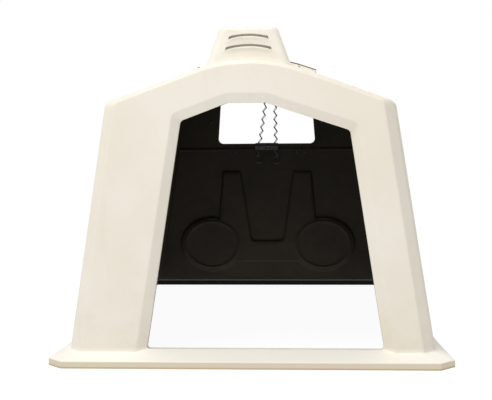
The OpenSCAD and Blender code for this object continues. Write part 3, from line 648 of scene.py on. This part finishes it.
def build_shell():
    """The whole body as one sheet: walls, roof, doorway frame, rear wall, flange and lip."""
    sheet = Sheet()
    stations = body_stations()
    rings = [s.ring() for s in stations]
    depth = [s.depth for s in stations]
    xs = [p[0] for p in rings[0]]
    mid = len(xs) // 2

    def in_hole(j, i):
        a, b = abs(rings[j][i][0]), abs(rings[j][i + 1][0])
        roof = abs(i - mid) < len(COLUMNS)
        for half, start, end in ((HATCH_HALF, HATCH_FROM, HATCH_TO), (VENT_HALF, VENT_FROM, VENT_TO)):
            if roof and max(a, b) <= half + SAME and depth[j] >= start - SAME and depth[j + 1] <= end + SAME:
                return True
        return False

    sheet.grid(rings, skip=in_hole)

    # Upstand round the roof hatch
    js = [j for j, d in enumerate(depth) if HATCH_FROM - SAME <= d <= HATCH_TO + SAME]
    roof_cols = range(mid - len(COLUMNS) + 1, mid + len(COLUMNS))
    cols = [i for i in roof_cols if abs(rings[js[0]][i][0]) < HATCH_HALF + SAME]
    loop = [rings[js[0]][i] for i in cols] + [rings[j][cols[-1]] for j in js[1:]]
    loop += [rings[js[-1]][i] for i in cols[-2::-1]] + [rings[j][cols[0]] for j in js[-2:0:-1]]
    sheet.grid([[both(p[:3] + [0, 0, h]) for p in loop] for h in (0, CURB_H / 2, CURB_H)], closed=True)

    # Doorway band and its short return, whose inner end is painted with the inner face's painted shade
    # colour, a wider strip of it above the sill
    columns = []
    for a, o, i in zip(door_outline(BAND_W + CRISP, 34, 5), door_outline(BAND_W, 30, 5),
                       door_outline(0, DOOR_R, FOOT_R)):
        a, o = np.array([a[0], at(FACE_D), a[1]]), np.array([o[0], at(FACE_D), o[1]])
        i = np.array([i[0], at(FACE_D + BAND_D), i[1]])
        line = crisp_bend(a, o, lerp(o, i, 0.1), 4) + crisp_bend(lerp(o, i, 0.92), i, i + [0, 3, 0], 4)
        # The return's last strip takes the painted shade colour: 1 mm deep at the sill, 17 mm higher up
        dark = 1 + 16 * smooth((i[2] - SILL_H - 3) / 15)
        columns.append(line + [both(i + [0, RETURN_D - dark, 0]), both(i + [0, RETURN_D, 0])])
    rows = [list(r) for r in zip(*columns)]
    sheet.grid(rows, closed=True, kind=lambda j: 1 if j == len(rows) - 2 else 0)
    face_line = rows[0]

    # Foot of the front wall on each side of the doorway, its fillet fading out at the band
    left_end, right_end = face_line[ROUND], face_line[ROUND + SILL_PARTS]
    right_corner, base_left = stations[0].corner(1), stations[0].base.corner(-1)
    fade = [0.03, 0.08, 0.18, 0.32, 0.48, 0.62, 0.74, 0.84, 0.92]

    def foot_point(q, side):
        """A foot of the front wall: q from the body's corner to the band's, with its height of fillet."""
        start, end = stations[0], left_end if side < 0 else right_end
        x, bx = lerp(start.corner(side)[0], end[0], q), lerp(start.base.corner(side)[0], end[3], q)
        f = FOOT_FILLET * smooth(abs(x - end[0]) / 50)
        return both((x, at(FACE_D), FLANGE_H + f), (bx, at(FACE_D), FLANGE_H)), f

    left_feet = [foot_point(q, -1) for q in fade]
    right_feet = [foot_point(q, 1) for q in reversed(fade)]
    sill_feet = [(face_line[k], 0.0) for k in range(ROUND, ROUND + SILL_PARTS + 1)]
    front = left_feet + sill_feet + right_feet
    outline = list(rings[0]) + [p for p, _ in reversed(right_feet)]
    outline += face_line[ROUND + SILL_PARTS:] + face_line[:ROUND + 1] + [p for p, _ in reversed(left_feet)]
    sheet.fill([[((p[0], p[2]), p) for p in outline]], None)

    # Rear wall: a fine grid for its relief, and flat round that grid and the window
    top_out = [((p[0], up_slope(p[2])), p) for p in rings[-1]]
    rear_corner, rear_base = stations[-1].corner(1)[0], stations[-1].base.corner(1)[0]
    rear_q = [1 - 2 * k / 26 for k in range(1, 26)]
    low = up_slope(FLANGE_H + FOOT_FILLET)
    rear_feet = [both(rear_point((q * rear_corner, low)), (q * rear_base, at(REAR_D), FLANGE_H))
                 for q in rear_q]
    cell = 6.4                                # about the size of a quad of the fine grid
    s_rows = np.linspace(*GRID_S, int((GRID_S[1] - GRID_S[0]) / cell) + 1)
    half_low, half_high = 596.0, 490.0
    cols = int(2 * half_low / (cell * 1.12)) // 2 * 2
    u = np.linspace(-1, 1, cols + 1)
    half = np.interp(s_rows, GRID_S, (half_low, half_high))
    flat = np.stack([np.outer(half, u).ravel(), np.repeat(s_rows, len(u))], 1)
    sunk = relief_depth(flat)
    normal_in = np.array([0, -cos(REAR_LEAN), -sin(REAR_LEAN)])
    points = np.array([rear_point(p) for p in flat]) + sunk[:, None] * normal_in
    sheet.grid(points.reshape(len(s_rows), len(u), 3))
    flat = flat.reshape(len(s_rows), len(u), 2)
    frame_loop = [*flat[0], *flat[1:, -1], *flat[-1, -2::-1], *flat[-2:0:-1, 0]]
    sill, head = up_slope(WINDOW_LOW), up_slope(WINDOW_HIGH)
    window = rounded([(-WINDOW_HALF, sill), (WINDOW_HALF, sill),
                      (WINDOW_TOP_HALF, head), (-WINDOW_TOP_HALF, head)], WINDOW_R, 7)
    wall_outline = top_out + [((p[0], low), p) for p in rear_feet]
    on_wall = [[(p, rear_point(p)) for p in loop] for loop in (frame_loop, window)]
    sheet.fill([wall_outline, *on_wall], None)

    # Flange and lip, all the way round from the right front corner
    feet = []

    def lip_of(station, side):
        x, d = station.lip()
        return np.array([side * x, at(d), LIP_H])

    def wall_foot(station, side):
        ring = station.ring()
        return (ring[-1] if side > 0 else ring[0], station.corner(side), lip_of(station, side),
                station.base.corner(side), lip_of(station.base, side), FOOT_FILLET)

    feet += [wall_foot(s, 1) for s in stations]
    first, last = lip_of(stations[-1], 1)[0], lip_of(stations[-1].base, 1)[0]
    for q, w in zip(rear_q, rear_feet):
        corner = np.array([q * rear_corner, at(REAR_D), FLANGE_H])
        lip, base_lip = (np.array([q * x, at(LENGTH), LIP_H]) for x in (first, last))
        feet.append((w, corner, lip, w[3:], base_lip, FOOT_FILLET))
    feet += [wall_foot(s, -1) for s in reversed(stations)]
    spread = lip_of(stations[0], 1)[0] / right_corner[0]
    base_spread = lip_of(stations[0].base, 1)[0] / -base_left[0]
    for w, f in front:
        feet.append((w, np.array([w[0], at(FACE_D), FLANGE_H]), np.array([w[0] * spread, at(0), LIP_H]),
                     w[3:], np.array([w[3] * base_spread, at(0), LIP_H]), f))
    lines = []
    for w, c, top, base_c, base_top, f in feet:
        along = unit(top - c)
        start, edge = c + along * f, top - along * CRISP
        line = [both(p, base_c) for p in bend(w[:3], c, start, 4)]
        line += [both(lerp(start, edge, q), lerp(base_c, base_top, q)) for q in (0.33, 0.67)]
        line += [both(p, base_top) for p in bend(edge, top, top - [0, 0, CRISP], 4)]
        line += [both([*top[:2], z], [*base_top[:2], z]) for z in (15.0, 7.0, 0.0)]
        lines.append(line)
    sheet.grid([list(r) for r in zip(*lines)], closed=True)
    return sheet.solid("hutch_shell", WALL, ((500, at(FACE_D), 500), (0, -1, 0)),
                       [LOOKS["moulded_shell"], PAINTED_SHADE_LINING], extra=inner_extra, rim=1.2)


shell = build_shell()
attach(shell, "hutch")
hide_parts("shell")

# ---- Ridge hood ----------------------------------------------------------------------------------
HOOD_LOW, HOOD_TOP, HOOD_HALF, HOOD_WALL = 1100, 1284, 110, 5
HOOD_RUN = 0.3615 * (HOOD_TOP - HOOD_LOW)
HOOD_FROM, HOOD_TO, HOOD_CORNER = 128, 440, 28
HOOD_FRONT_RUN, HOOD_REAR_RUN = 22, 110       # how far the front and the rear lean in up to the top
SLOT_END, SLOT_H = 0.79, 13
SLOTS = [(1208, 305, 92), (1247, 280, 78)]    # height, radius of its arch, half width of its blade


def build_hood():
    """The ridge hood: upright lines from its foot on the roof over the two slots to its flat top."""
    sheet = Sheet()
    across = [-1, -0.9, -SLOT_END, -0.64, -0.48, -0.32, -0.16, 0, 0.16, 0.32, 0.48, 0.64, SLOT_END, 0.9, 1]
    down = [0.25, 0.5, 0.75]

    def loop(half, start, end):
        """Front from left to right, then round the back; each point with its outward direction."""
        c = HOOD_CORNER
        pts = [((k * (half - c), start), (0, -1)) for k in across]

        def arc(cx, cd, a0, a1):
            for k in range(1, 6):
                a = radians(lerp(a0, a1, k / 6))
                pts.append(((cx + c * cos(a), cd + c * sin(a)), (cos(a), sin(a))))

        arc(half - c, start + c, -90, 0)
        pts.extend([((half, lerp(start + c, end - c, q)), (1, 0)) for q in [0] + down + [1]])
        arc(half - c, end - c, 0, 90)
        pts.extend([((-k * (half - c), end), (0, 1)) for k in across])
        arc(-half + c, end - c, 90, 180)
        pts.extend([((-half, lerp(end - c, start + c, q)), (-1, 0)) for q in [0] + down + [1]])
        arc(-half + c, start + c, 180, 270)
        return pts

    base = loop(HOOD_HALF + HOOD_RUN, HOOD_FROM, HOOD_TO)
    top = loop(HOOD_HALF, HOOD_FROM + HOOD_FRONT_RUN, HOOD_TO - HOOD_REAR_RUN)

    def point(k, z, out=0.0):
        q = (z - HOOD_LOW) / (HOOD_TOP - HOOD_LOW)
        (bx, bd), n = base[k]
        (tx, td), _ = top[k]
        return np.array([lerp(bx, tx, q) + n[0] * out, at(lerp(bd, td, q) + n[1] * out), z])

    def foot_height(k, above):
        low, high = float(HOOD_LOW), float(HOOD_TOP)
        for _ in range(30):
            z = (low + high) / 2
            low, high = (z, high) if z < roof_z(point(k, z)[0]) + above else (low, z)
        return low

    def arch(k, z, r):
        x = min(abs(point(k, z)[0]), 100.0)
        front = smooth((300 - base[k][0][1]) / 120)
        return z - (r - sqrt(r * r - x * x)) * front

    count = len(base)
    front_cols = len(across)
    lines = []
    for k in range(count):
        n = np.array([base[k][1][0], base[k][1][1], 0.0])
        foot = foot_height(k, 5)
        corner = point(k, foot)
        wide = lerp(2.5, 27, smooth((corner[1] - at(HOOD_FROM + 8)) / 70))
        edge = corner + n * wide
        edge[2] = roof_z(edge[0]) + 5
        soft = min(8.0, wide * 0.6)
        up = point(k, foot + 9)
        ledge = edge.copy()
        ledge[2] = roof_z(edge[0]) + 0.5
        line = [ledge, *bend(lerp(ledge, edge, 0.6), edge, lerp(edge, corner, 0.25), 3)]
        line += bend(corner + (edge - corner) / max(wide, 1) * soft, corner, up, 4)
        from_middle = abs(across[k]) if k < front_cols else 1.0
        bulge = 1.0 if from_middle < SLOT_END - SAME else 0.35 if from_middle < 0.85 else 0.0
        line.append(point(k, arch(k, SLOTS[0][0] - 14, SLOTS[0][1])))
        for z, r, _ in SLOTS:
            line.append(point(k, arch(k, z - 6, r), 3.5 * bulge))
            line.append(point(k, arch(k, z - 2, r), 6 * bulge))
            line.append(point(k, arch(k, z, r), 6 * bulge))
            line.append(point(k, arch(k, z + SLOT_H, r), 0))
            line.append(point(k, arch(k, z + SLOT_H + 5, r), 0))
        crown = point(k, HOOD_TOP)
        inward = np.array([-n[0], -n[1], 0.0])
        line += bend(point(k, HOOD_TOP - 12), crown, crown + inward * 12, 5)
        lines.append(line)
    rows = [list(r) for r in zip(*lines)]
    first = 4 + 1 + 5 + 1
    open_rows = [first + 2, first + 2 + 5]

    def is_slot(j, i):
        on_slot_row = j in open_rows and i < front_cols - 1
        return on_slot_row and max(abs(across[i]), abs(across[i + 1])) <= SLOT_END + SAME

    sheet.grid(rows, closed=True, skip=is_slot)
    sheet.fill([[((p[0], p[1]), (p[0], p[1], HOOD_TOP)) for p in rows[-1]]], None)
    return sheet.solid("ridge_hood", HOOD_WALL, ((0, at(240), HOOD_TOP), (0, 0, 1)),
                       [LOOKS["moulded_hood"], LOOKS["moulded_hood"]], rim=1.2)


def build_blades():
    """Behind each slot, a blade that rises inwards from its lower edge."""
    sheet = Sheet()
    for z, r, half in SLOTS:
        front = HOOD_FROM + HOOD_FRONT_RUN * (z - HOOD_LOW) / (HOOD_TOP - HOOD_LOW)
        curve = [(x, z - r + sqrt(r * r - x * x)) for x in np.linspace(-half, half, 25)]
        sheet.grid([[(x, at(front + lerp(-3, 18, q)), foot + lerp(-0.4, 9.5, q)) for x, foot in curve]
                    for q in (0, 0.25, 0.5, 0.75, 1)])
    return sheet.solid("hood_slot_blades", 2.5, ((0, at(150), 1258), (0, 0, 1)),
                       [LOOKS["moulded_hood"], LOOKS["moulded_hood"]], rim=0.6)


hood = build_hood()
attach(hood, "hutch")
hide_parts("vent_hood")
blades = build_blades()
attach(blades, "hutch")

# ---- Ridge lid -----------------------------------------------------------------------------------
LID_HALF, LID_FROM, LID_TO, LID_TOP, LID_RIM, LID_WALL = 275, 1519, 1822, 26, 3, 5
OPENED = (Matrix.Translation(LID_AXIS) @ Matrix.Rotation(-LID_OPEN, 4, "X") @ Matrix.Translation(-LID_AXIS))


def build_lid():
    """The ridge lid, drawn shut on the roof and then opened about its axis."""
    sheet = Sheet()

    def ribbed(x, d):
        along = smooth((d - LID_FROM - 32) / 14) * smooth((LID_TO - 38 - d) / 14)
        return 6 * along * smooth((22 - abs(abs(x) - 140)) / 9)

    def place(x, d, h):
        return tuple(OPENED @ Vector((x, at(d), roof_z(x) + h + ribbed(x, d))))

    def ring(inset, h):
        a, b = LID_HALF - inset, LID_FROM + inset
        box = [(-a, b), (a, b), (a, LID_TO), (-a, LID_TO)]
        pts = rounded(box, [max(14 - inset, 3), max(14 - inset, 3), 6, 6], 5)
        out = []
        for i, p in enumerate(pts):
            q = pts[(i + 1) % len(pts)]
            parts = max(1, int(np.linalg.norm(q - p) / 24))
            out += [lerp(p, q, k / parts) for k in range(parts)]
        return [(x, d, lerp(h, LID_TOP, smooth((d - LID_FROM - 272) / 8))) for x, d in out]

    layout = [(0, LID_RIM), (0, 11), (0, 18)]
    layout += [tuple(p) for p in bend((0, 18), (0, LID_TOP), (8, LID_TOP), 4)[1:]]
    small = ring(*layout[-1])
    rows = []
    for inset, h in layout:
        pts = ring(inset, h)
        if len(pts) != len(small):
            pts = [pts[round(k * len(pts) / len(small)) % len(pts)] for k in range(len(small))]
        rows.append([place(*p) for p in pts])
    sheet.grid(rows, closed=True)
    rib = (116, 121, 126, 131, 140, 149, 154, 159, 164)
    xs = sorted({s * v for s in (-1, 1) for v in (0, 24, 48, 72, 96, *rib, 185, 210, 235, 255)})
    ds = [LID_FROM + 16 + k * 9.5 for k in range(31)]
    extra = [(x, d) for x in xs for d in ds if d < LID_TO - 8]
    sheet.fill([[((x, d), place(x, d, h)) for x, d, h in small]], lambda p: place(p[0], p[1], LID_TOP), extra)
    probe = OPENED @ Vector((0, at(1650), roof_z(0) + LID_TOP))
    return sheet.solid("ridge_lid_panel", LID_WALL, (probe, (0, 0, 1)),
                       [LOOKS["moulded_lid"], LOOKS["moulded_lid"]], rim=1.2)


lid = build_lid()
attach(lid, "lid")
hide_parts("ridge_lid")

# ---- Pull chains ---------------------------------------------------------------------------------
WIRE, CHAIN_STEP, CHAIN_SWING, CHAIN_TAIL = 3.5, 22, 7.5, 66
LEVER_R, KEEPER_Z, KEEPER_OUT = 85, 812, 22
EYE = np.array([0, LID_AXIS.y + LEVER_R * cos(LID_OPEN / 2), LID_AXIS.z - LEVER_R * sin(LID_OPEN / 2)])
KEEPER = np.array([0, at(REAR_D) - tan(REAR_LEAN) * (KEEPER_Z - FLANGE_H) - WALL - KEEPER_OUT, KEEPER_Z])
RING_R, RING_DROP, LINK_W = 10, 5.2, 6.2


def tube(bm, points, radius, sides=8):
    """A closed wire through the points."""
    n = len(points)
    rings = []
    for i, p in enumerate(points):
        ahead = unit(points[(i + 1) % n] - points[i - 1])
        side = points[i] - sum(points) / n
        side = unit(side - ahead * (side @ ahead))
        other = np.cross(ahead, side)
        rings.append([bm.verts.new((p + radius * (cos(a) * side + sin(a) * other)) * MM)
                      for a in np.linspace(0, 2 * pi, sides, endpoint=False)])
    for i in range(n):
        a, b = rings[i], rings[(i + 1) % n]
        for k in range(sides):
            m = (k + 1) % sides
            bm.faces.new((a[k], a[m], b[m], b[k]))


def link_points(start, end, width, flat):
    """Centreline of a long wire link between two places; flat is the direction of its width."""
    along = unit(end - start)
    flat = unit(flat - along * (flat @ along))
    r, centre = width / 2, (start + end) / 2
    straight = max(np.linalg.norm(end - start) / 2 + WIRE / 2 - r, 0.5)
    out = []
    for sign in (1, -1):
        for k in range(9):
            a = -pi / 2 + pi * k / 8
            out.append(centre + sign * (along * (straight + r * cos(a)) + flat * r * sin(a)))
    return out


def build_chain(name, eye_x, foot_x):
    """A ring through the lever's eye, and links that zigzag from it through the keeper. Links lie across and
    along the keeper's slot in turn, narrow enough to clear it as the chain slides."""
    top = EYE + [eye_x, 0, 0]
    foot = KEEPER + [foot_x, 0, 0]
    start = top - [0, 0, RING_DROP + 2 * RING_R]
    way = unit(foot - start)
    count = int((np.linalg.norm(foot - start) + CHAIN_TAIL) // CHAIN_STEP)
    nodes = [start]
    for m in range(count):
        nodes.append(start + way * CHAIN_STEP * (m + 0.5) + np.array([CHAIN_SWING * (-1) ** m, 0, 0]))
    nodes.append(start + way * CHAIN_STEP * count)
    bm = bmesh.new()
    centre = top - [0, 0, RING_DROP + RING_R]
    round_turn = np.linspace(0, 2 * pi, 32, endpoint=False)
    tube(bm, [centre + RING_R * np.array([0, cos(a), sin(a)]) for a in round_turn], WIRE / 2, 10)
    for m in range(len(nodes) - 1):
        flat = np.array([1.0, 0.3, 0.2]) if m % 2 else np.array([0.6, 0.8, 0.0])
        tube(bm, link_points(nodes[m], nodes[m + 1], LINK_W, flat), WIRE / 2, 8)
    bmesh.ops.recalc_face_normals(bm, faces=bm.faces)
    mesh = bpy.data.meshes.new(name)
    bm.to_mesh(mesh)
    bm.free()
    mesh.materials.append(LOOKS["chain_steel"])
    return finished(name, mesh, 0)


for side, eye_x, foot_x in (("left", 2, -40), ("right", 49, 53)):
    chain = build_chain("chain_links_" + side, eye_x, foot_x)
    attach(chain, "chain_" + side)
    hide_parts("pull_chain_" + side)

# ---- CAD pieces that keep their shape ------------------------------------------------------------
# Each piece's look and the width of its softened edges
KEPT = {
    "hood_screws": ("zinc_steel", 0.4),
    "lid_curb_seal": ("rubber_seal", 0.8),
    "lid_brackets": ("dark_steel", 0.8),
    "lid_bracket_bolts": ("zinc_steel", 0.4),
    "lid_hinge_rod": ("zinc_steel", 0.5),
    "rod_clips": ("zinc_steel", 0.3),
    "lid_edge_strip": ("edge_rubber", 0.4),
    "lid_lever": ("dark_steel", 0.8),
    "lever_bolts": ("zinc_steel", 0.4),
    "pull_ring_left": ("ring_steel", 0),
    "pull_ring_right": ("ring_steel", 0),
    "chain_keeper": ("dark_steel", 0.7),
    "keeper_bolts": ("bolt_steel", 0.4),
    "rear_flap": ("moulded_flap", 1.5),
    "flap_seal": ("rubber_seal", 0.6),
    "flap_leaves": ("dark_steel", 0.5),
    "flap_rivets": ("zinc_steel", 0.3),
    "wall_leaves": ("dark_steel", 0.5),
    "wall_leaf_bolts": ("bolt_steel", 0.4),
    "flap_hinge_pins": ("zinc_steel", 0.4),
    "turn_button_left": ("button_steel", 1.0),
    "turn_button_right": ("button_steel", 1.0),
    "turn_button_bolts": ("bolt_steel", 0.5),
}
for name, (look, width) in KEPT.items():
    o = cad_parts[name]
    if not o.material_slots:
        o.data.materials.append(LOOKS[look])
    for s in o.material_slots:
        s.link = "OBJECT"
        s.material = LOOKS[look]
    weld = o.modifiers.new("weld", "WELD")
    weld.merge_threshold = 0.00001
    flat = o.modifiers.new("flat", "DECIMATE")
    flat.decimate_type, flat.angle_limit, flat.delimit = "DISSOLVE", radians(1.0), {"SHARP"}
    soften(o, width, 32)

# ---- Stage ---------------------------------------------------------------------------------------
FLOOR_GLOW, SKY, BACKDROP = 0.95, 0.42, 1.0
floor_mesh = bpy.data.meshes.new("floor")
far = 14.0
floor_mesh.from_pydata([(-far, -far, 0), (far, -far, 0), (far, far, 0), (-far, far, 0)], [], [(0, 1, 2, 3)])
floor = bpy.data.objects.new("floor", floor_mesh)
scene.collection.objects.link(floor)
look = Look("studio_floor")
floor_mesh.materials.append(look.done(look.mix(look.noise(0.6, 3), srgb(90, 90, 90), srgb(86, 86, 86)),
                                      look.span(look.noise(3, 2), 0.3, 0.7, 0.8, 0.9), specular=0.1))
look.shader.inputs["Emission Color"].default_value = (1, 1, 1, 1)
look.shader.inputs["Emission Strength"].default_value = FLOOR_GLOW

world = bpy.data.worlds.new("studio")
scene.world = world
world.use_nodes = True
tree = world.node_tree
sky = tree.nodes["Background"]
sky.inputs["Color"].default_value, sky.inputs["Strength"].default_value = (1, 1, 1, 1), SKY
backdrop = tree.nodes.new("ShaderNodeBackground")
backdrop.inputs["Color"].default_value, backdrop.inputs["Strength"].default_value = (1, 1, 1, 1), BACKDROP
seen = tree.nodes.new("ShaderNodeMixShader")
tree.links.new(tree.nodes.new("ShaderNodeLightPath").outputs["Is Camera Ray"], seen.inputs["Fac"])
tree.links.new(sky.outputs["Background"], seen.inputs[1])
tree.links.new(backdrop.outputs["Background"], seen.inputs[2])
tree.links.new(seen.outputs["Shader"], tree.nodes["World Output"].inputs["Surface"])


def softbox(name, place, target, size, power, colour=(1, 1, 1)):
    light = bpy.data.lights.new(name, "AREA")
    light.shape, light.size, light.energy, light.color = "SQUARE", size, power, colour
    o = bpy.data.objects.new(name, light)
    scene.collection.objects.link(o)
    o.location = place
    o.rotation_euler = (Vector(target) - Vector(place)).to_track_quat("-Z", "Y").to_euler()


softbox("key", (-1.22, -3.0, 6.2), (0, -0.9, 0.5), 2.6, 264, (1.0, 0.99, 0.975))
softbox("rim", (3.0, 4.5, 3.4), (0, 0.4, 0.6), 3.0, 34, (0.97, 0.985, 1.0))

# ---- Camera --------------------------------------------------------------------------------------
YAW, TILT, ROLL = radians(3.356), radians(3.786), radians(-0.446)
FOCAL_PIXELS, IMAGE_W, SENSOR = 994.4, 492, 36.0
CAMERA_PLACE = (0.2095, -4.710, 0.8779)
ahead = Vector((-sin(YAW) * cos(TILT), cos(YAW) * cos(TILT), -sin(TILT)))
right = Vector((cos(YAW), sin(YAW), 0))
up = right.cross(ahead)
right, up = cos(ROLL) * right + sin(ROLL) * up, -sin(ROLL) * right + cos(ROLL) * up
lens = bpy.data.cameras.new("camera")
lens.sensor_width, lens.lens = SENSOR, FOCAL_PIXELS / IMAGE_W * SENSOR
camera = bpy.data.objects.new("camera", lens)
scene.collection.objects.link(camera)
turned = Matrix((right, up, -ahead)).transposed().to_4x4()
camera.matrix_world = Matrix.Translation(CAMERA_PLACE) @ turned
scene.camera = camera
scene.view_settings.view_transform = "Standard"
